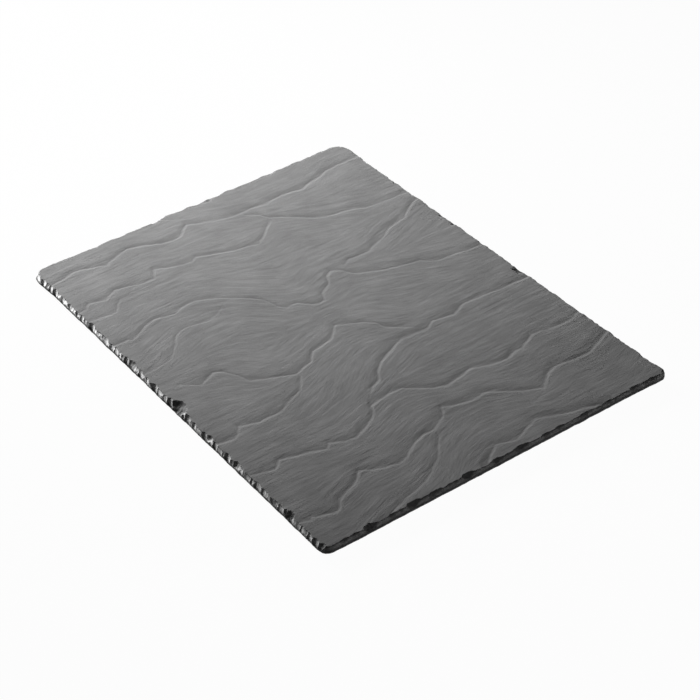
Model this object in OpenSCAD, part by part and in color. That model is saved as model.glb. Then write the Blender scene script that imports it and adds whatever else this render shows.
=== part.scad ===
// Slate serving board: a riven slab with a knapped edge, on four round rubber feet stuck on with foam tape.
// Millimetres, +Z up. The origin is at the middle of the board, on the surface that the feet stand on.
// +X runs along the long side and -Y is the front side.

/* [Slab] */
// Length of the board
board_l = 350; // [250:1:450]
// Width of the board
board_w = 250; // [180:1:350]
// Thickness of the slate
slab_t = 5.5; // [4.5:0.1:9]
// Radius of the largest of the four corners, seen from above
corner_r = 10; // [6:0.5:20]

/* [Riven top] */
// Height of the tallest riser, where a layer has split away
riser_h = 0.6; // [0.3:0.05:1.2]
// How far the tallest riser leans back from its foot to its crest
riser_lean = 2; // [1:0.1:3]
// Width of the hollow that slopes down to the foot of a riser
hollow_w = 9; // [5:0.5:14]
// Length over which a riser dies out
riser_fade = 40; // [20:1:60]

/* [Knapped edge] */
// Basic spacing of the flakes struck off all round the top edge
flake_pitch = 12; // [10:0.5:20]
// Depth of the deepest of these flakes into the top
flake_bite = 2.2; // [0.8:0.1:3]
// Depth of the deepest of these flakes down the side
flake_drop = 4; // [1.6:0.1:4.4]
// Length of the largest single bite out of the edge
bite_l = 18; // [14:0.5:22]
// Depth of the largest single bite into the top
bite_d = 6.5; // [3:0.1:7]
// Depth of the largest single bite down the side
bite_drop = 4.6; // [2:0.1:4.6]

/* [Feet] */
// Diameter of a foot where it is stuck on
foot_d = 12; // [8:0.5:20]
// Height of a foot without its tape
foot_h = 2.2; // [1.5:0.1:5]
// How much narrower a foot is at the bottom, on each side
foot_taper = 0.8; // [0.2:0.1:2]
// Rounding of a foot's lower edge
foot_round = 0.7; // [0.2:0.1:1.2]
// Distance from the board's sides to the centre of a foot
foot_inset = 30; // [20:1:50]
// Thickness of the foam tape
tape_t = 0.8; // [0.4:0.1:1.6]
// Strip of the foot's top that the tape leaves bare
tape_margin = 0.5; // [0.2:0.1:1.5]

/* [Hidden] */
// Overrun of every cut past the face that it opens
over = 0.2;
// A riser that dies out ends this share of its height above the face
riser_end_share = 0.1;
// Flakes are shifted along the edge by up to this share of their pitch
flake_shift_share = 0.25;
flake_seed = 11;
seeds_per_side = 4;
slab_z = foot_h + tape_t;
top_z = slab_z + slab_t;
arc_steps = 8;
$fn = 48;

// Corner names with their directions along X and Y and their shares of the corner radius
corners = [
    ["front_left", -1, -1, 0.45],
    ["front_right", 1, -1, 0.9],
    ["rear_left", -1, 1, 1],
    ["rear_right", 1, 1, 0.35]
];

// Risers of the riven top, from the left side of the board to the right.
// Each has its share of the riser height, its shares of the fade at its two ends and its middle line.
// A middle line runs from the rear to the front, as shares of the board's length and width.
riser_shares = [
    [0.35, [0.5, 0], [[.047,.461], [.033,.452], [.022,.432], [.012,.408], [-.01,.365]]],
    [1, [0, 0], [
        [.065,1.02], [.064,.935], [.067,.89], [.078,.858], [.084,.815], [.092,.785], [.084,.725],
        [.09,.66], [.085,.615], [.086,.575], [.081,.53], [.071,.495], [.051,.433], [.064,.414],
        [.079,.392], [.081,.36], [.075,.33], [.06,.295], [.046,.248], [.056,.215], [.069,.168],
        [.051,.1], [.049,.08], [.057,.05], [.064,-.02]]],
    [0.8, [0, 0.2], [
        [.24,1.02], [.24,.945], [.238,.89], [.232,.862], [.219,.83], [.214,.79], [.209,.755],
        [.196,.725], [.173,.692], [.148,.652], [.137,.631], [.118,.62], [.108,.605], [.098,.587],
        [.088,.58]]],
    [0.65, [0.2, 0], [
        [.145,.64], [.163,.602], [.18,.578], [.203,.54], [.194,.513], [.191,.475], [.18,.436],
        [.16,.375], [.169,.356], [.166,.328], [.156,.29], [.143,.257], [.156,.245], [.17,.233],
        [.17,.203], [.154,.127], [.172,.084], [.164,.057], [.16,.04], [.174,.026], [.177,-.02]]],
    [0.4, [0.5, 0], [
        [.167,.175], [.187,.14], [.189,.115], [.2,.099], [.218,.083], [.22,.068], [.216,.04],
        [.212,-.02]]],
    [0.3, [0.6, 0.6], [[.264,.978], [.277,.947], [.29,.913], [.302,.875], [.313,.844], [.322,.825]]],
    [0.75, [0, 0.2], [
        [.266,1.02], [.281,.975], [.297,.941], [.313,.916], [.321,.86], [.337,.828], [.358,.763],
        [.364,.75], [.36,.688], [.371,.66], [.38,.645]]],
    [0.8, [0, 0], [
        [.486,1.02], [.483,.955], [.475,.875], [.466,.845], [.452,.827], [.441,.769], [.434,.735],
        [.411,.67], [.401,.653], [.381,.642], [.369,.617], [.381,.597], [.405,.578], [.42,.542],
        [.44,.531], [.444,.51], [.415,.467], [.414,.436], [.398,.42], [.368,.411], [.347,.389],
        [.304,.319], [.292,.293], [.284,.262], [.285,.228], [.295,.194], [.285,.143], [.293,.112],
        [.316,.056], [.31,.045], [.309,-.02]]],
    [0.4, [0.4, 0], [
        [.322,.328], [.331,.31], [.347,.28], [.355,.25], [.345,.193], [.348,.167], [.362,.144],
        [.392,.116], [.409,.093], [.416,.07], [.42,-.02]]],
    [0.9, [0.2, 0.6], [
        [.625,.655], [.613,.635], [.585,.587], [.562,.576], [.547,.558], [.523,.504], [.52,.489],
        [.55,.446], [.554,.41], [.558,.384], [.581,.357], [.587,.328], [.595,.303], [.573,.242],
        [.557,.199], [.53,.185], [.504,.166], [.495,.145], [.511,.096], [.495,.067], [.485,.051],
        [.49,.02]]],
    [1, [0, 0.4], [
        [.626,1.02], [.624,.895], [.618,.86], [.617,.795], [.631,.75], [.623,.693], [.635,.658],
        [.63,.585], [.648,.53], [.66,.497], [.683,.46], [.703,.444], [.712,.416], [.727,.393],
        [.745,.378]]],
    [0.95, [0.2, 0], [
        [.596,.31], [.613,.297], [.637,.272], [.653,.224], [.665,.196], [.663,.16], [.666,.13],
        [.652,.081], [.67,.064], [.676,.05], [.668,-.02]]],
    [1, [0, 0], [
        [.766,1.02], [.78,.97], [.781,.935], [.77,.85], [.782,.817], [.79,.795], [.79,.768],
        [.799,.742], [.799,.725], [.78,.645], [.791,.563], [.78,.527], [.747,.47], [.744,.445],
        [.751,.375], [.766,.365], [.784,.342], [.806,.275], [.8,.243], [.787,.214], [.799,.201],
        [.788,.162], [.772,.09], [.788,.063], [.782,.038], [.768,-.02]]],
    [1, [0, 0], [
        [.842,1.02], [.86,.967], [.877,.912], [.876,.88], [.868,.808], [.876,.78], [.902,.737],
        [.893,.703], [.853,.627], [.848,.608], [.853,.57], [.833,.499], [.853,.485], [.872,.435],
        [.873,.4], [.881,.371], [.902,.328], [.906,.3], [.901,.268], [.88,.211], [.897,.188],
        [.919,.122], [.938,.099], [.94,.085], [.924,.038], [.929,.03], [.916,-.02]]],
    [0.35, [0.2, 0.8], [[.903,.737], [.913,.722], [.92,.702], [.925,.655]]],
    [0.85, [0, 0], [
        [1.01,.84], [.989,.755], [.98,.705], [.965,.668], [.96,.645], [.983,.564], [.97,.515],
        [.983,.492], [1.01,.44]]],
    [0.55, [0.3, 0], [
        [.873,.44], [.896,.425], [.931,.388], [.955,.347], [.972,.31], [.986,.23], [1.01,.14]]]
];

// Flakes of the front, right, rear and left sides. Each side has its share of the pitch,
// its least and greatest length in pitches, and its least and greatest shares of the bite and the drop.
flake_shares = [
    [0.65, [1.1, 1.6], [0.4, 1], [0.55, 0.95]],
    [0.75, [0.95, 1.5], [0.25, 0.8], [0.35, 0.9]],
    [2, [0.3, 0.7], [0.12, 0.28], [0.06, 0.15]],
    [1.6, [0.5, 1], [0.16, 0.4], [0.08, 0.2]]
];

// Single bites out of the edge: side, place along it, and shares of the largest length, depth and drop.
// Sides are counted from the front one anticlockwise, and places run anticlockwise too.
bite_shares = [
    [0, .275, .72, .38, .87], [0, .376, .95, .55, .95], [0, .537, 1, 1, 1], [0, .57, .56, .42, .9],
    [0, .644, .5, .5, .6], [0, .735, .52, .45, .7], [0, .774, .4, .25, .6], [0, .894, .55, .55, .9],
    [1, .125, .62, .45, .75], [1, .245, .85, .42, .75], [1, .313, .45, .28, .6], [1, .4, .7, .42, .75],
    [1, .485, .55, .32, .7], [1, .555, .85, .36, .7], [1, .67, .5, .26, .6], [1, .75, .5, .26, .6],
    [1, .82, .45, .26, .6], [1, .96, .5, .28, .6],
    [2, .054, .42, .32, .13], [2, .207, .4, .4, .13], [2, .234, .35, .2, .13], [2, .307, .42, .32, .13],
    [2, .403, .66, .75, .25], [2, .518, .3, .25, .13], [2, .609, .35, .45, .17], [2, .646, .3, .38, .17],
    [2, .708, .25, .2, .13], [2, .744, .25, .2, .13], [2, .805, .3, .3, .2],
    [3, .235, .7, .23, .2], [3, .455, .7, .72, .2], [3, .625, .55, .3, .25], [3, .81, .6, .2, .2]
];

function is_long(side) = side % 2 == 0;
function side_l(side) = is_long(side) ? board_l : board_w;
function side_y(side) = (is_long(side) ? board_w : board_l)/2;

// Board outline, with each corner rounded by its own radius
module outline() {
    difference() {
        square([board_l, board_w], center = true);
        for (c = corners) {
            r = c[3]*corner_r;
            translate([c[1]*(board_l/2 - r), c[2]*(board_w/2 - r)])
                difference() {
                    translate([c[1], c[2]]*(r + over)/2)
                        square(r + over, center = true);
                    circle(r);
                }
        }
    }
}

// Place on the top edge of one side, with +Y pointing into the board
module at_edge(side, share) {
    rotate(90*side)
        translate([(share - 1/2)*side_l(side), -side_y(side), top_z])
            children();
}

// Sphere that takes a scoop of this length out of the edge, this deep into the top and down the side
module scoop(length, bite, drop) {
    out = (length*length/4 - bite*bite)/(2*bite);
    up = (length*length/4 - drop*drop)/(2*drop);
    translate([0, -out, up])
        sphere(norm([out + bite, up]));
}

// Flakes struck off all round, each of its own length, depth and drop
module flakes() {
    for (side = [0:3]) {
        share = flake_shares[side];
        pitch = share[0]*flake_pitch;
        count = round(side_l(side)/pitch);
        seed = flake_seed + seeds_per_side*side;
        shift_shares = rands(-flake_shift_share, flake_shift_share, count, seed);
        length_shares = rands(share[1][0], share[1][1], count, seed + 1);
        depth_shares = rands(share[2][0], share[2][1], count, seed + 2);
        drop_shares = rands(share[3][0], share[3][1], count, seed + 3);
        for (i = [0:count - 1])
            at_edge(side, (i + 1/2 + shift_shares[i])/count)
                scoop(length_shares[i]*pitch, depth_shares[i]*flake_bite, drop_shares[i]*flake_drop);
    }
}

module bites() {
    for (b = bite_shares)
        at_edge(b[0], b[1])
            scoop(b[2]*bite_l, b[3]*bite_d, b[4]*bite_drop);
}

// Length of a line from its start to one of its points
function run_to(line, i) = i == 0 ? 0 : run_to(line, i - 1) + norm(line[i] - line[i - 1]);

// Share of its height that a riser has at a distance from an end
function faded(distance, fade_share) =
    fade_share == 0 ? 1 : min(1, distance/(fade_share*riser_fade) - riser_end_share);

// Wedge cut along one riser: the hollow slopes down to the riser's foot, and the riser leans back from it
module cleft(height_share, fades, line_shares) {
    line = [for (p = line_shares) [(p[0] - 1/2)*board_l, (p[1] - 1/2)*board_w]];
    last = len(line) - 1;
    runs = [for (i = [0:last]) run_to(line, i)];
    heights = [for (r = runs) height_share*riser_h*min(faded(r, fades[0]), faded(runs[last] - r, fades[1]))];
    lean = riser_lean/riser_h;
    points = [
        for (i = [0:last])
            let (p = line[i], h = heights[i])
                each [
                    [p[0] - hollow_w, p[1], top_z + over],
                    [p[0] - lean*h/2, p[1], top_z - h],
                    [p[0] + lean*(h/2 + over), p[1], top_z + over]
                ]
    ];
    sides = [
        for (i = [0:last - 1], k = [0:2])
            let (a = 3*i + k, b = 3*i + (k + 1) % 3)
                each [[a, b + 3, b], [a, a + 3, b + 3]]
    ];
    polyhedron(points, concat([[0, 1, 2]], sides, [[3*last, 3*last + 2, 3*last + 1]]), convexity = 6);
}

module slate_slab() {
    color("dimgray")
        difference() {
            translate([0, 0, slab_z])
                linear_extrude(slab_t)
                    outline();
            for (r = riser_shares)
                cleft(r[0], r[1], r[2]);
            flakes();
            bites();
        }
}

// Place of a foot under one corner
module at_corner(c) {
    translate([c[1]*(board_l/2 - foot_inset), c[2]*(board_w/2 - foot_inset), 0])
        children();
}

module foot(c) {
    face_r = foot_d/2 - foot_taper;
    round_r = min(foot_round, foot_h/2);
    rounding = [
        for (i = [0:arc_steps])
            let (a = 90*i/arc_steps)
                [face_r - round_r*(1 - sin(a)), round_r*(1 - cos(a))]
    ];
    color("black")
        at_corner(c)
            rotate_extrude()
                polygon(concat([[0, 0]], rounding, [[foot_d/2, foot_h], [0, foot_h]]));
}

module tape(c) {
    color("gray")
        at_corner(c)
            translate([0, 0, foot_h])
                cylinder(h = tape_t, d = foot_d - 2*tape_margin);
}

slate_slab();
for (c = corners) {
    foot(c);
    tape(c);
}
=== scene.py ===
import math

import bmesh
import bpy
import numpy as np
from mathutils import Matrix, Vector, noise
from mathutils.bvhtree import BVHTree


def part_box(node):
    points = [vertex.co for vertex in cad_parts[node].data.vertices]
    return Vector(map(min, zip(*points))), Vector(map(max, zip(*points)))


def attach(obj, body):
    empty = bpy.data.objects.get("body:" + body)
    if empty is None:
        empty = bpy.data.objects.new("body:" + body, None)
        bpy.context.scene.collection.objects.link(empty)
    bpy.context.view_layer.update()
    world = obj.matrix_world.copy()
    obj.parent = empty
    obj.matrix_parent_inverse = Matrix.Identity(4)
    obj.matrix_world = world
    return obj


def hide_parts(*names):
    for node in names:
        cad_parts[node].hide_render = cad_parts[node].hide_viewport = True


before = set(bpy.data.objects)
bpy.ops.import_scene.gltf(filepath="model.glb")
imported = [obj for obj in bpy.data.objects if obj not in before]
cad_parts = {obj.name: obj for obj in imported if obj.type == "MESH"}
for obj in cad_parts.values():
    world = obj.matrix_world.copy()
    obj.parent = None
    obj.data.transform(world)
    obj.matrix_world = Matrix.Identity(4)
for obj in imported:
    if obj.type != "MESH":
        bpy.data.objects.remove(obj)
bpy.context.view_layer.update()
scene = bpy.context.scene
scene.view_settings.view_transform = "Standard"
print("frame loaded:", ", ".join(sorted(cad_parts)))


# Shader sockets as values: sums and products of them add Math nodes
class Wire:
    def __init__(self, tree, socket=None):
        self.tree = tree
        self.socket = socket

    def node(self, kind, settings=None, sockets=None, out=0):
        made = self.tree.nodes.new(kind)
        for name, value in (settings or {}).items():
            setattr(made, name, value)
        for name, value in (sockets or {}).items():
            if isinstance(value, Wire):
                self.tree.links.new(value.socket, made.inputs[name])
            else:
                made.inputs[name].default_value = value
        return Wire(self.tree, made.outputs[out] if made.outputs else None)

    def math(self, operation, other=0.0, swap=False):
        first, second = (other, self) if swap else (self, other)
        return self.node("ShaderNodeMath", {"operation": operation}, {0: first, 1: second})

    def __add__(self, other):
        return self.math("ADD", other)

    def __radd__(self, other):
        return self.math("ADD", other, swap=True)

    def __sub__(self, other):
        return self.math("SUBTRACT", other)

    def __rsub__(self, other):
        return self.math("SUBTRACT", other, swap=True)

    def __mul__(self, other):
        return self.math("MULTIPLY", other)

    def __rmul__(self, other):
        return self.math("MULTIPLY", other, swap=True)

    def __truediv__(self, other):
        return self.math("DIVIDE", other)

    def __rtruediv__(self, other):
        return self.math("DIVIDE", other, swap=True)

    def __abs__(self):
        return self.math("ABSOLUTE")

    def atLeast(self, other):
        return self.math("MAXIMUM", other)

    def atMost(self, other):
        return self.math("MINIMUM", other)

    def asGrey(self):
        return self.node("ShaderNodeCombineColor", {}, {0: self, 1: self, 2: self})

    def mixColor(self, first, second):
        sockets = {0: self, 6: first, 7: second}
        return self.node("ShaderNodeMix", {"data_type": "RGBA"}, sockets, out=2)


def newMaterial(name):
    material = bpy.data.materials.new(name)
    material.use_nodes = True
    material.node_tree.nodes.clear()
    return material, Wire(material.node_tree)


def cloud(wires, place, scale, detail):
    sockets = {"Vector": place, "Scale": scale, "Detail": detail}
    return wires.node("ShaderNodeTexNoise", {}, sockets)


def bumped(wires, height, distance, strength=1.0):
    sockets = {"Strength": strength, "Distance": distance, "Height": height}
    return wires.node("ShaderNodeBump", {}, sockets)


def finishSurface(wires, sockets):
    shader = wires.node("ShaderNodeBsdfPrincipled", {}, sockets)
    wires.node("ShaderNodeOutputMaterial", {}, {"Surface": shader})


def grey(level):
    return (level, level, level, 1.0)


def addObject(name, bm):
    mesh = bpy.data.meshes.new(name)
    bm.to_mesh(mesh)
    bm.free()
    made = bpy.data.objects.new(name, mesh)
    scene.collection.objects.link(made)
    return made


# Camera, solved from the four straight sides of the board
cameraView = {
    "aim": (0.0336, -0.0102, 0.0085),
    "distance": 1.2208,
    "azimuth": 58.436,
    "elevation": 37.120,
    "roll": 5.115,
    "lens": 100.04,
}


def addCamera(view):
    turn, rise = math.radians(view["azimuth"]), math.radians(view["elevation"])
    flat = math.cos(rise)
    back = Vector((math.sin(turn) * flat, -math.cos(turn) * flat, math.sin(rise)))
    data = bpy.data.cameras.new("camera")
    data.lens = view["lens"]
    camera = bpy.data.objects.new("camera", data)
    scene.collection.objects.link(camera)
    level = (-back).to_track_quat("-Z", "Y").to_matrix()
    tilted = level @ Matrix.Rotation(math.radians(-view["roll"]), 3, "Z")
    place = Matrix.Translation(Vector(view["aim"]) + back * view["distance"])
    camera.matrix_world = place @ tilted.to_4x4()
    scene.camera = camera


addCamera(cameraView)
print("camera placed")


# Slate slab: a fine mesh laid over the solid's riven top, with small flakes of its own at the edge
frontSide, rightSide, rearSide, leftSide = range(4)
hair = 1e-6  # heights and places closer than this are the same
slab = {
    "node": "slate_slab",
    "cell": 0.0025,  # coarse cell of the top
    "riserTilt": 0.1,  # a riser's normal leans at least this much to -X
    "riserUpright": 0.2,  # and points up by more than this
    "riserReach": (0.0036, 0.0018, 0.0),  # refined this far from a riser, one pass each
    # relief of the risers
    "reliefStep": 0.0006,  # net on which it is read
    "leastDrop": 1e-9,
    "leastWeight": 1e-6,
    "hollowReach": (0.0025, 0.0095),  # a hollow and its riser span this much on either side
    "hollowPower": (0.8, 2.1),  # makes a hollow steeper towards its riser, here less, there more
    "hollowSpots": (0.009, 0),  # size and layer of the noise that says where
    "footPower": 0.65,  # lifts the low risers
    "footShare": (0.85, 1.3),  # makes a riser lower here and higher there
    "footSpots": (0.014, 7),
    "soften": 0.0004,
    "sharpBend": 250.0,  # bend that counts as a sharp edge or foot
    "reliefShare": 0.8,
    "riserShift": 0.0005,
    "wanders": ((0.0060, 0.0006), (0.0021, 0.00035)),  # size and reach of a riser's wandering
    "swell": 0.00012,  # slow rise and fall of the layers
    "swellSize": 0.045,
    # flakes of the solid along its rim
    "brokenReach": 0.007,  # they end this far inside
    "flakeWander": 0.0024,  # and end this irregularly along the rim
    "flakeWanderSize": 0.0028,
    "flakeMargin": 0.0004,  # a flake lies at least this much below the relief
    "rayInset": 0.00002,
    "brokenSlope": (0.18, 0.3),  # outward part of the normal where the top turns into a break
    "brokenDrop": 0.00005,  # what lies this much below the whole top is broken
    "breakRough": 0.0005,  # small hollows within the breaks: size, depth and lift
    "breakRoughSize": 0.0045,
    "breakRoughShape": (2.0, 0.5),
    # rim and walls
    "rimWaveSize": 0.008,
    "rimReach": 0.006,  # waves and bulges of the rim fade out this far inside
    "wallDepth": 0.00001,  # what lies less deep belongs to the walls
    "wallRows": 5,
    "wallRough": 0.0003,
    "wallRoughSize": 0.003,
    "wallFractal": (0.6, 2.0, 3),
    "wallLayers": 2.5,  # the roughness is this much finer across the layers
    "undercut": 0.0004,  # the lowest part of a wall leans in by this much
    "undercutHeight": 0.0014,
    "footClear": 0.004,  # strip of the underside along the rim
    "leastWall": 0.0006,
    # bevels struck along the sides
    "bevelSkew": 0.34,  # share of a hollow that lies before its deepest place
    "bevelShift": 0.4,
    "bevelLean": 0.3,
    "bevelFade": 4.0,  # how soon a bevel ends where a corner turns to the next side
    "bevelSeed": 7,
    "cornerSteep": 1.1,
    # front, right, rear and left side
    #   refined: as deep as this inside the rim, one pass each
    #   wave, grow: waviness of the rim, and how far it stands outside the solid
    #   bulges: more or less than that, by place along the side, reach and amount
    #   bevel: its least width, and the spacing, length, depth and steepness of its hollows
    #   breaks: the paler bruise of fresh breaks, with painted light and shade: tone at the foot of
    #       the wall (painted shadow),
    #   and above it where the side starts and ends (brighter or darker by side, as the light
    #   falls), heights between which it rises, depths between which it falls into painted shade in
    #   the hollows, and to what share
    "sides": (
        {
            "refined": (0.0080, 0.0060, 0.0030),
            "wave": 0.0003,
            "grow": 0.0007,
            "bulges": ((-0.168, 0.014, 0.0010),),
            "bevel": {"width": 0.0003, "pitch": 0.0062, "half": (0.0020, 0.0050),
                      "hollow": (0.28, 0.58), "steep": 2.4},
            "breaks": {"foot": 0.012, "tones": (0.72, 0.44), "rise": (0.0018, 0.0032),
                       "deep": (0.0008, 0.0030, 0.25)},
        },
        {
            "refined": (0.0065, 0.0040, 0.0024),
            "wave": 0.0003,
            "grow": 0.0005,
            "bulges": ((0.119, 0.006, 0.0005),),
            "bevel": {"width": 0.0, "pitch": 0.0060, "half": (0.0020, 0.0050),
                      "hollow": (0.02, 0.40), "steep": 2.0},
            "breaks": {"foot": 0.22, "tones": (0.80, 0.80), "rise": (0.0022, 0.0034),
                       "deep": (0.0002, 0.0010, 0.22)},
        },
        {
            "refined": (0.0055, 0.0030, 0.0),
            "wave": 0.0007,
            "grow": 0.0007,
            "bulges": ((-0.158, 0.012, 0.0009), (0.159, 0.005, -0.0009)),
            "bevel": {"width": 0.0, "pitch": 0.0090, "half": (0.0015, 0.0040),
                      "hollow": (0.0, 0.28), "steep": 1.2},
            "breaks": {"foot": 0.05, "tones": (0.05, 0.05), "rise": (0.0010, 0.0030),
                       "deep": (0.0010, 0.0030, 0.80)},
        },
        {
            "refined": (0.0055, 0.0030, 0.0),
            "wave": 0.0013,
            "grow": 0.0011,
            "bulges": ((-0.109, 0.007, 0.0010), (-0.018, 0.006, 0.0016), (0.121, 0.006, 0.0009)),
            "bevel": {"width": 0.0, "pitch": 0.0070, "half": (0.0020, 0.0050),
                      "hollow": (0.03, 0.12), "steep": 0.6},
            "breaks": {"foot": 0.06, "tones": (0.10, 0.10), "rise": (0.0010, 0.0030),
                       "deep": (0.0010, 0.0030, 1.00)},
        },
    ),
    # growth, width of the bevel struck off, and painted shade on the breaks at the corners away
    # from the key lamp
    "corners": {
        "frontLeft": {"grow": 0.0004, "bevel": 0.0026, "paintedShade": 0.0},
        "frontRight": {"grow": 0.0010, "bevel": 0.0010, "paintedShade": 0.8},
        "rearRight": {"grow": 0.0008, "bevel": 0.0016, "paintedShade": 0.8},
        "rearLeft": {"grow": 0.0, "bevel": 0.0006, "paintedShade": 0.0},
    },
    "paintedUndersideShadow": (0.15, 0.0014),  # painted shadow along the underside: share of the tone there, and up to which height
    "paintedFlakeShade": (-0.1, 0.45, 0.3),  # painted shade: in front it falls to this share where a flake faces +X, away from the key lamp
    # direction of the grain
    "grainSpread": 0.013,
    "grainPull": 2e-7,
    "grainBatch": 4000,
    "sharpAngle": 38.0,
}


def between(value, start, end):
    return min(1.0, max(0.0, (value - start) / (end - start)))


def fallTo(share, value, start, end):
    return 1.0 + (share - 1.0) * between(value, start, end)


# From 0 on a straight side to 1 halfway round a corner
def diagonal(out):
    return 4 * (out.x * out.y) ** 2


def cornerName(out):
    return ("front" if out.y < 0 else "rear") + ("Right" if out.x > 0 else "Left")


# Rounded outline of the solid: how deep a place lies inside it, and the way out
class Outline:
    def __init__(self, corners, low, high):
        self.half = (high - low) / 2
        self.radii = {}
        under = [c for c in corners if c.z < low.z + hair]
        for sx in (-1, 1):
            for sy in (-1, 1):
                row = [sx * c.x for c in under if abs(c.y - sy * self.half.y) < hair]
                self.radii[sx, sy] = self.half.x - max(row)

    def inCorner(self, x, y):
        sx, sy = (-1 if x < 0 else 1), (-1 if y < 0 else 1)
        radius = self.radii[sx, sy]
        return sx, sy, radius, abs(x) - self.half.x + radius, abs(y) - self.half.y + radius

    def depth(self, x, y):
        sx, sy, radius, dx, dy = self.inCorner(x, y)
        if dx > 0 and dy > 0:
            reach = math.hypot(dx, dy)
            return radius - reach, Vector((sx * dx, sy * dy, 0)) / reach
        if dx > dy:
            return radius - dx, Vector((sx, 0, 0))
        return radius - dy, Vector((0, sy, 0))

    def side(self, out):
        if abs(out.y) > abs(out.x):
            return frontSide if out.y < 0 else rearSide
        return rightSide if out.x > 0 else leftSide

    # presses the square corner of a net into the round one
    def roundCorner(self, co):
        sx, sy, radius, dx, dy = self.inCorner(co.x, co.y)
        if dx > 0 and dy > 0:
            a, b = dx / radius, dy / radius
            co.x = sx * (self.half.x - radius + radius * a * math.sqrt(1 - b * b / 2))
            co.y = sy * (self.half.y - radius + radius * b * math.sqrt(1 - a * a / 2))


def readSolid(node):
    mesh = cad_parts[node].data
    mesh.calc_loop_triangles()
    return [v.co.copy() for v in mesh.vertices], [tuple(t.vertices) for t in mesh.loop_triangles]


def refine(bm, wanted):
    faces = [f for f in bm.faces if wanted(f.calc_center_median())]
    edges = list({e for f in faces for e in f.edges})
    bmesh.ops.subdivide_edges(bm, edges=edges, cuts=1, use_grid_fill=True, use_single_edge=True)


def layTop(settings, outline, topZ, risers):
    bm = bmesh.new()
    half = outline.half
    cellsX, cellsY = (round(2 * size / settings["cell"]) for size in (half.x, half.y))
    bmesh.ops.create_grid(bm, x_segments=cellsX, y_segments=cellsY, size=1.0)
    bmesh.ops.scale(bm, vec=(half.x, half.y, 1.0), verts=bm.verts)
    bmesh.ops.translate(bm, vec=(0, 0, topZ), verts=bm.verts)
    for step, riserReach in enumerate(settings["riserReach"]):
        def wanted(place):
            depth, out = outline.depth(place.x, place.y)
            if depth < settings["sides"][outline.side(out)]["refined"][step]:
                return True
            return riserReach > 0 and risers.find_nearest(place, riserReach)[0] is not None
        refine(bm, wanted)
    for v in bm.verts:
        outline.roundCorner(v.co)
    return bm


# Bevel along one side, scalloped by hollows that meet in ridges
class Bevel:
    def __init__(self, settings, side, length, random):
        look = settings["sides"][side]["bevel"]
        count = round(2 * length / look["pitch"])
        shift, lean = settings["bevelShift"], settings["bevelLean"]
        steps = np.arange(count) + 0.5 + random.uniform(-shift, shift, count)
        self.place = -length + steps * 2 * length / count
        self.half = random.uniform(*look["half"], count)
        self.hollow = random.uniform(*look["hollow"], count) * self.half
        self.lean = random.uniform(-lean, lean, count)
        self.width, self.steep, self.skew = look["width"], look["steep"], settings["bevelSkew"]

    def drops(self, along, inward):
        across = along[:, None] - self.place - self.lean * inward[:, None]
        reach = 2 * self.half * np.where(across < 0, self.skew, 1.0 - self.skew)
        hollow = np.maximum(self.hollow * (1.0 - (across / reach) ** 2), 0.0).max(1)
        return self.steep * np.maximum(self.width + hollow - inward, 0.0)


def bevelDrops(places, settings, outline):
    random = np.random.default_rng(settings["bevelSeed"])
    drops = np.zeros(len(places))
    reads = [outline.depth(x, y) for x, y in places]
    depths = np.array([max(depth, 0.0) for depth, out in reads])
    sides = np.array([outline.side(out) for depth, out in reads])
    turned = [max(abs(out.x), abs(out.y)) - math.sqrt(0.5) for depth, out in reads]
    straight = np.minimum(1.0, settings["bevelFade"] * np.array(turned))
    for side in range(len(settings["sides"])):
        near = (sides == side) & (depths < settings["brokenReach"])
        bevel = Bevel(settings, side, outline.half[side % 2], random)
        drops[near] = straight[near] * bevel.drops(places[near, side % 2], depths[near])
    corners = settings["corners"]
    widths = [corners[cornerName(out)]["bevel"] * diagonal(out) for depth, out in reads]
    return np.maximum(drops, settings["cornerSteep"] * (np.array(widths) - depths))


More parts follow.
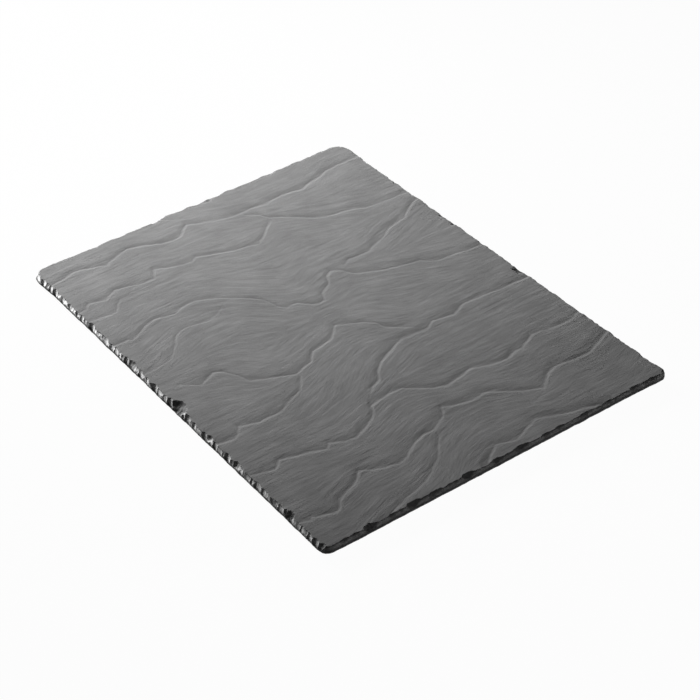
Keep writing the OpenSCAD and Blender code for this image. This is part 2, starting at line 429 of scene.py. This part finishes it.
# Relief of the risers on a regular net, without the flakes of the rim
class Relief:
    def __init__(self, settings, outline, solid, topZ):
        self.step = settings["reliefStep"]
        self.origin = -outline.half
        size = [math.ceil(2 * extent / self.step) + 1 for extent in outline.half.xy]
        drops = np.zeros(size)
        kept, inner = np.zeros(size, bool), np.zeros(size, bool)
        for i in range(size[0]):
            for j in range(size[1]):
                place = self.origin + Vector((i, j, 0)) * self.step
                place.z = topZ + self.step
                depth, out = outline.depth(place.x, place.y)
                hit, normal = solid.ray_cast(place, Vector((0, 0, -1)))[:2]
                inner[i, j] = depth > settings["brokenReach"]
                if hit and (inner[i, j] or normal.dot(out) < settings["brokenSlope"][0]):
                    drops[i, j], kept[i, j] = max(topZ - hit.z, 0), True
        self.deepest = drops[kept & inner].max()
        kept &= drops <= self.deepest
        drops[~kept] = 0
        self.plain = drops
        before, after = (round(reach / self.step) for reach in settings["hollowReach"])
        near = [self.shifted(drops, k) for k in range(-before, after + 1)]
        foot = np.max(near, axis=0) + settings["leastDrop"]
        power = self.spots(size, settings["hollowSpots"], settings["hollowPower"])
        share = self.spots(size, settings["footSpots"], settings["footShare"])
        lifted = share * self.deepest * (foot / self.deepest) ** settings["footPower"]
        drops = lifted * (drops / foot) ** power
        weights = kept + settings["leastWeight"]
        sigma = settings["soften"] / self.step
        self.drops = self.blurred(drops * weights, sigma) / self.blurred(weights, sigma)
        # bend of the surface: below zero along a riser's foot, above zero along its edge
        turned = self.drops.T
        around = [self.shifted(self.drops, k) + self.shifted(turned, k).T for k in (-1, 1)]
        bend = (sum(around) - 4 * self.drops) / (self.step ** 2 * settings["sharpBend"])
        self.bend = np.clip(bend, -1.0, 1.0)

    def spots(self, size, look, span):
        spread, layer = look
        low, high = span
        scale = self.step / spread
        rows = [[noise.noise((i * scale, j * scale, layer)) for j in range(size[1])]
                for i in range(size[0])]
        return low + (high - low) * np.clip(0.5 + np.array(rows), 0.0, 1.0)

    def shifted(self, field, k):
        index = np.clip(np.arange(len(field)) + k, 0, len(field) - 1)
        return field[index]

    def blurred(self, field, sigma):
        reach = math.ceil(3 * sigma)
        steps = range(-reach, reach + 1)
        weights = np.exp(-np.array(steps) ** 2 / (2 * sigma * sigma))
        for turn in range(2):
            parts = [w * self.shifted(field, k) for k, w in zip(steps, weights)]
            field = (sum(parts) / weights.sum()).T
        return field

    def at(self, field, places):
        spot = (places - np.array(self.origin[:2])) / self.step
        spot = np.clip(spot, 0, np.array(field.shape) - 1.001)  # just inside the last cell
        i, j = spot.astype(int).T
        a, b = (spot - spot.astype(int)).T
        near = field[i, j] * (1 - b) + field[i, j + 1] * b
        far = field[i + 1, j] * (1 - b) + field[i + 1, j + 1] * b
        return near * (1 - a) + far * a


def readFlakes(bm, settings, outline, solid, relief, topZ):
    broken, flaked = np.zeros(len(bm.verts)), np.full(len(bm.verts), topZ)
    inset = settings["rayInset"]
    for i, v in enumerate(bm.verts):
        depth, out = outline.depth(v.co.x, v.co.y)
        if depth < settings["brokenReach"]:
            place = v.co - out * max(0.0, inset - depth)
            shift = settings["flakeWander"] * noise.noise(v.co / settings["flakeWanderSize"])
            place += Vector((-out.y, out.x, 0)) * shift
            place.z = topZ + inset
            hit, normal = solid.ray_cast(place, Vector((0, 0, -1)))[:2]
            drop = relief.at(relief.plain, np.array([place.xy]))[0]
            if hit and hit.z < topZ - drop - settings["flakeMargin"]:
                broken[i] = between(normal.dot(out), *settings["brokenSlope"])
                flaked[i] = hit.z
    return broken, flaked


def shapeTop(bm, settings, outline, solid, topZ, bottomZ):
    relief = Relief(settings, outline, solid, topZ)
    print("relief read: deepest", relief.deepest)
    bm.verts.ensure_lookup_table()
    places = np.array([v.co.xy for v in bm.verts])
    # the relief is read a little off the true place, so that straight stretches wander
    wandered = places + np.array((settings["riserShift"], 0.0))
    for size, reach in settings["wanders"]:
        wandered += reach * np.array([noise.noise_vector(v.co / size).xy for v in bm.verts])
    broken, flaked = readFlakes(bm, settings, outline, solid, relief, topZ)
    # the swell only lowers, so that nothing stands above the solid
    swells = np.array([noise.noise(v.co / settings["swellSize"]) for v in bm.verts]) - 1.0
    whole = topZ - settings["reliefShare"] * relief.at(relief.drops, wandered)
    whole = whole + swells * settings["swell"]
    heights = np.minimum(whole, flaked)
    heights = np.minimum(heights, topZ - bevelDrops(places, settings, outline))
    broken[whole - heights > settings["brokenDrop"]] = 1.0
    depth, lift = settings["breakRoughShape"]
    for i in np.flatnonzero(broken):
        cell = noise.voronoi(bm.verts[i].co / settings["breakRoughSize"])[0][0]
        rough = settings["breakRough"] * (depth * cell ** 2 - lift)
        heights[i] = min(whole[i], heights[i] + broken[i] * rough)
    heights = np.maximum(heights, bottomZ + settings["leastWall"])
    for v, z in zip(bm.verts, heights):
        v.co.z = z
    return broken, relief.at(relief.bend, wandered)


def addWalls(bm, settings, outline, bottomZ):
    # row by row down to the underside, then a strip of it and its middle
    rim = [e for e in bm.edges if e.is_boundary]
    rows = settings["wallRows"]
    for row in range(rows + 1):
        made = bmesh.ops.extrude_edge_only(bm, edges=rim)["geom"]
        rim = [g for g in made if isinstance(g, bmesh.types.BMEdge)]
        for v in {v for e in rim for v in e.verts}:
            if row < rows:
                v.co.z += (bottomZ - v.co.z) / (rows - row)
            else:
                v.co -= outline.depth(v.co.x, v.co.y)[1] * settings["footClear"]
    bmesh.ops.triangle_fill(bm, use_beauty=True, use_dissolve=False, edges=rim)
    bmesh.ops.recalc_face_normals(bm, faces=bm.faces)


def rimGrowth(co, out, settings, outline):
    flat = Vector((co.x, co.y, 0))
    side = outline.side(out)
    look = settings["sides"][side]
    grow = look["grow"] + settings["corners"][cornerName(out)]["grow"] * diagonal(out)
    grow += look["wave"] * noise.noise(flat / settings["rimWaveSize"])
    for place, reach, amount in look["bulges"]:
        grow += amount * math.exp(-((flat[side % 2] - place) / reach) ** 2)
    return grow


def roughenRim(bm, settings, outline, bottomZ):
    for v in bm.verts:
        depth, out = outline.depth(v.co.x, v.co.y)
        share = 1.0 - max(depth, 0.0) / settings["rimReach"]
        if share > 0:
            v.co += out * share * rimGrowth(v.co, out, settings, outline)
        if depth < settings["wallDepth"]:
            layered = Vector((v.co.x, v.co.y, v.co.z * settings["wallLayers"]))
            rough = noise.fractal(layered / settings["wallRoughSize"], *settings["wallFractal"])
            under = max(0.0, 1.0 - (v.co.z - bottomZ) / settings["undercutHeight"])
            inward = settings["wallRough"] * (0.5 + 0.5 * rough)
            v.co -= out * (inward + under * settings["undercut"])


# Tone of the breaks: the paler bruise of fresh slate, with painted light and shade: brighter or
# darker by side and along it as the key lamp falls, painted shadow at the foot and along the
# underside, painted shade in the hollows, on front flakes facing away from the lamp and at the far
# corners
def bruiseAndPaintedLight(v, depth, out, settings, outline, bottomZ):
    height, tone = v.co.z - bottomZ, 0.0
    for axis, sides in enumerate(((leftSide, rightSide), (frontSide, rearSide))):
        side = sides[0] if out[axis] < 0 else sides[1]
        look = settings["sides"][side]["breaks"]
        along = between(v.co[1 - axis], -outline.half[1 - axis], outline.half[1 - axis])
        # painted light and shade: each side brighter or darker, and lighter towards the lamp along
        # the front
        first, last = look["tones"]
        above = first + (last - first) * along
        # painted shadow at the foot of the wall, rising to the side's tone above
        part = look["foot"] + between(height, *look["rise"]) * (above - look["foot"])
        # painted shade, darker deeper inside the hollows of the breaks
        start, end, share = look["deep"]
        part *= fallTo(share, depth, start, end)
        # painted shade on front flakes that face away from the key lamp
        if side == frontSide:
            start, end, share = settings["paintedFlakeShade"]
            part *= fallTo(share, v.normal.x, start, end)
        tone += out[axis] ** 2 * part
    # painted shadow along the underside
    share, end = settings["paintedUndersideShadow"]
    tone *= fallTo(share, end - height, 0.0, end)
    # painted shade at the corners on the far side from the key lamp
    return tone * (1.0 - settings["corners"][cornerName(out)]["paintedShade"] * diagonal(out))


def findRisers(corners, triangles, settings):
    risers = []
    for t in triangles:
        a, b, c = (corners[i] for i in t)
        normal = (b - a).cross(c - a).normalized()
        if normal.x < -settings["riserTilt"] and normal.z > settings["riserUpright"]:
            risers.append(t)
    return risers


def grainField(corners, risers, outline, settings):
    # the solid's risers give the grain its direction: their middles, turns and sizes
    rows = []
    for t in risers:
        a, b, c = (corners[i] for i in t)
        middle, normal = (a + b + c) / 3, (b - a).cross(c - a)
        if outline.depth(middle.x, middle.y)[0] > settings["brokenReach"]:
            rows.append((middle.x, middle.y, math.atan2(normal.y, -normal.x), normal.length))
    return np.array(rows)


def grainTurns(places, field, settings):
    spread, pull, batch = settings["grainSpread"], settings["grainPull"], settings["grainBatch"]
    result = np.zeros(len(places))
    for start in range(0, len(places), batch):
        part = places[start:start + batch]
        gap = ((part[:, None, :] - field[None, :, :2]) ** 2).sum(2)
        weight = field[:, 3] * np.exp(-gap / (2 * spread * spread))
        result[start:start + batch] = (weight * field[:, 2]).sum(1) / (weight.sum(1) + pull)
    return result


def makeSlab(settings):
    corners, triangles = readSolid(settings["node"])
    solid = BVHTree.FromPolygons(corners, triangles)
    low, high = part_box(settings["node"])
    outline = Outline(corners, low, high)
    risers = findRisers(corners, triangles, settings)
    bm = layTop(settings, outline, high.z, BVHTree.FromPolygons(corners, risers))
    print("slab top refined:", len(bm.faces), "faces")
    topBroken, topBend = shapeTop(bm, settings, outline, solid, high.z, low.z)
    addWalls(bm, settings, outline, low.z)
    count = len(bm.verts)
    broken, bend, tones = np.ones(count), np.zeros(count), np.zeros(count)
    broken[:len(topBroken)], bend[:len(topBend)] = topBroken, topBend
    bm.normal_update()
    for i, v in enumerate(bm.verts):
        depth, out = outline.depth(v.co.x, v.co.y)
        # tone of the breaks: bruise with painted light and shade
        tones[i] = bruiseAndPaintedLight(v, depth, out, settings, outline, low.z)
        if v.co.z < low.z + hair and depth > settings["footClear"] / 2:
            broken[i] = 0.0
    roughenRim(bm, settings, outline, low.z)
    places = np.array([v.co.xy for v in bm.verts])
    turns = grainTurns(places, grainField(corners, risers, outline, settings), settings)
    piece = addObject("slateSlab", bm)
    mesh = piece.data
    stored = {"grainTurn": turns, "bend": bend, "broken": broken, "bruiseAndPaintedLight": tones}
    for name, values in stored.items():
        attribute = mesh.attributes.new(name, "FLOAT", "POINT")
        attribute.data.foreach_set("value", values.astype(np.float32))
    mesh.shade_smooth()
    mesh.set_sharp_from_angle(angle=math.radians(settings["sharpAngle"]))
    mesh.calc_loop_triangles()
    print("slab finished:", len(mesh.loop_triangles), "triangles")
    return piece


slateFinish = {
    "tone": 0.165,
    "grainWidth": 0.0042,
    "grainLength": 0.026,
    "grainAngles": (-60, -40, -20, 0, 20, 40, 60),
    "grainDetail": 5.0,
    "grainCrisp": 0.6,
    "mottle": (60.0, 4.0),  # scale and detail
    "speck": (1500.0, 2.0),
    "chips": (700.0, 4.0),
    "grainTone": 0.34,
    "mottleTone": 0.45,
    "speckTone": 0.24,
    "edgeWearAndHighlight": 0.06,  # wear and painted highlight, paler along the edges of the risers; painted shade, darker along their feet
    "paintedCreaseShade": 0.2,
    "relief": 0.00066,
    "speckRelief": 0.12,
    "chipRelief": 0.3,
    "rough": 0.82,
    "grainRough": 0.1,
    "brokenRough": 0.45,
    "sheen": 0.07,
}


def slateMaterial(finish):
    material, wires = newMaterial("rivenSlate")
    place = wires.node("ShaderNodeTexCoord", out="Object")
    turn, broken, freshBruiseAndLight, bend = (
        wires.node("ShaderNodeAttribute", {"attribute_name": name}, out="Fac")
        for name in ("grainTurn", "broken", "bruiseAndPaintedLight", "bend"))
    width, length = finish["grainWidth"], finish["grainLength"]
    angles = [math.radians(a) for a in finish["grainAngles"]]
    step = angles[1] - angles[0]
    # streaks along each of several directions, blended by the direction stored on the mesh
    grain = 0.0
    for angle in angles:
        along = wires.node("ShaderNodeMapping", {"vector_type": "TEXTURE"}, {
            "Vector": place, "Rotation": (0, 0, -angle), "Scale": (width, length, length)})
        streaks = wires.node("ShaderNodeTexNoise", {}, {
            "Vector": along, "Scale": 1.0, "Detail": finish["grainDetail"],
            "Roughness": finish["grainCrisp"]})
        grain = (1.0 - abs(turn - angle) / step).atLeast(0.0) * streaks + grain
    mottle, speck, chips = (cloud(wires, place, *finish[n]) for n in ("mottle", "speck", "chips"))
    tone = 1.0 + finish["grainTone"] * (grain - 0.5) + finish["mottleTone"] * (mottle - 0.5)
    tone = tone + finish["speckTone"] * (speck - 0.5)
    # wear and painted highlight along the riser edges, painted shade along their feet
    tone = tone + finish["edgeWearAndHighlight"] * bend.atLeast(0.0) + finish["paintedCreaseShade"] * bend.atMost(0.0)
    tone = tone * finish["tone"]
    # bruise of the breaks, with light and shade painted in by side, foot, hollow and corner
    freshBruiseAndLight = (0.5 + chips) * freshBruiseAndLight
    relief = (grain + finish["speckRelief"] * speck) * (1.0 - broken)
    relief = relief + finish["chipRelief"] * chips * broken
    rough = finish["rough"] + finish["grainRough"] * grain
    finishSurface(wires, {
        "Base Color": broken.mixColor(tone.asGrey(), freshBruiseAndLight.asGrey()),
        "Roughness": rough + (finish["brokenRough"] - finish["rough"]) * broken,
        "Specular IOR Level": finish["sheen"],
        "Normal": bumped(wires, relief, finish["relief"])})
    return material


slabPiece = makeSlab(slab)
slabPiece.data.materials.append(slateMaterial(slateFinish))
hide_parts("slate_slab")
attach(slabPiece, "root")


# Rubber feet and foam tape keep their solids and get their own finish
rubberFinish = {
    "tones": (0.02, 0.04),
    "bloom": (300.0, 3.0),  # scale and detail
    "fine": (3000.0, 2.0),
    "relief": 0.00005,
    "reliefStrength": 0.5,
    "rough": 0.6,
    "fineRough": 0.2,
    "sheen": 0.4,
}
foamFinish = {
    "tones": (0.22, 0.4),
    "cellScale": 6000.0,
    "relief": 0.00006,
    "reliefStrength": 0.6,
    "rough": 0.85,
    "cellRough": 0.1,
    "sheen": 0.3,
}


def rubberMaterial(finish):
    material, wires = newMaterial("footRubber")
    place = wires.node("ShaderNodeTexCoord", out="Object")
    fine, bloom = (cloud(wires, place, *finish[name]) for name in ("fine", "bloom"))
    finishSurface(wires, {
        "Base Color": bloom.mixColor(*(grey(tone) for tone in finish["tones"])),
        "Roughness": finish["rough"] + finish["fineRough"] * fine,
        "Specular IOR Level": finish["sheen"],
        "Normal": bumped(wires, fine, finish["relief"], finish["reliefStrength"])})
    return material


def foamMaterial(finish):
    material, wires = newMaterial("foamTape")
    place = wires.node("ShaderNodeTexCoord", out="Object")
    sockets = {"Vector": place, "Scale": finish["cellScale"]}
    cells = wires.node("ShaderNodeTexVoronoi", {}, sockets, out="Distance")
    finishSurface(wires, {
        "Base Color": cells.mixColor(*(grey(tone) for tone in finish["tones"])),
        "Roughness": finish["rough"] + finish["cellRough"] * cells,
        "Specular IOR Level": finish["sheen"],
        "Normal": bumped(wires, cells, finish["relief"], finish["reliefStrength"])})
    return material


rubber, foam = rubberMaterial(rubberFinish), foamMaterial(foamFinish)
for name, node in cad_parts.items():
    if name.startswith(("foot_", "tape_")):
        node.data.materials.clear()
        node.data.materials.append(rubber if name.startswith("foot_") else foam)
print("feet and tape finished")


# Floor, world and soft boxes
stage = {
    "floorSize": 6.0,
    "floorTone": 0.45,
    "floorGlow": 0.97,  # share of plain white that the camera sees on the floor
    "worldTone": 0.03,
}
softBoxes = {
    "key": {
        "place": (-0.78, -0.06, 0.25),
        "aim": (-0.36, -0.01, 0.0),
        "size": (0.6, 0.5),
        "watts": 3.72,
        "spread": 48.0,
    },
}


def seenRays(wires):
    rays = wires.node("ShaderNodeLightPath")
    names = ("Is Camera Ray", "Is Glossy Ray", "Is Transmission Ray")
    camera, glossy, passing = (Wire(wires.tree, rays.socket.node.outputs[n]) for n in names)
    return camera.atLeast(glossy).atLeast(passing)


def makeFloor(settings):
    bm = bmesh.new()
    bmesh.ops.create_grid(bm, x_segments=1, y_segments=1, size=settings["floorSize"] / 2)
    floor = addObject("floor", bm)
    material, wires = newMaterial("paleFloor")
    plain = wires.node("ShaderNodeBsdfDiffuse", {}, {"Color": grey(settings["floorTone"])})
    glow = wires.node("ShaderNodeEmission", {}, {"Color": grey(1.0), "Strength": 1.0})
    share = seenRays(wires) * settings["floorGlow"]
    both = wires.node("ShaderNodeMixShader", {}, {0: share, 1: plain, 2: glow})
    wires.node("ShaderNodeOutputMaterial", {}, {"Surface": both})
    floor.data.materials.append(material)


def lightWorld(settings):
    world = bpy.data.worlds.new("studio")
    world.use_nodes = True
    world.node_tree.nodes.clear()
    scene.world = world
    wires = Wire(world.node_tree)
    tone = seenRays(wires).mixColor(grey(settings["worldTone"]), grey(1.0))
    sky = wires.node("ShaderNodeBackground", {}, {"Color": tone, "Strength": 1.0})
    wires.node("ShaderNodeOutputWorld", {}, {"Surface": sky})


def addSoftBox(name, box):
    data = bpy.data.lights.new(name, "AREA")
    data.shape = "RECTANGLE"
    data.size, data.size_y = box["size"]
    data.energy, data.spread = box["watts"], math.radians(box["spread"])
    lamp = bpy.data.objects.new(name, data)
    scene.collection.objects.link(lamp)
    lamp.location = box["place"]
    beam = Vector(box["aim"]) - Vector(box["place"])
    lamp.rotation_euler = beam.to_track_quat("-Z", "Y").to_euler()


makeFloor(stage)
lightWorld(stage)
for name, box in softBoxes.items():
    addSoftBox(name, box)
print("stage lit")
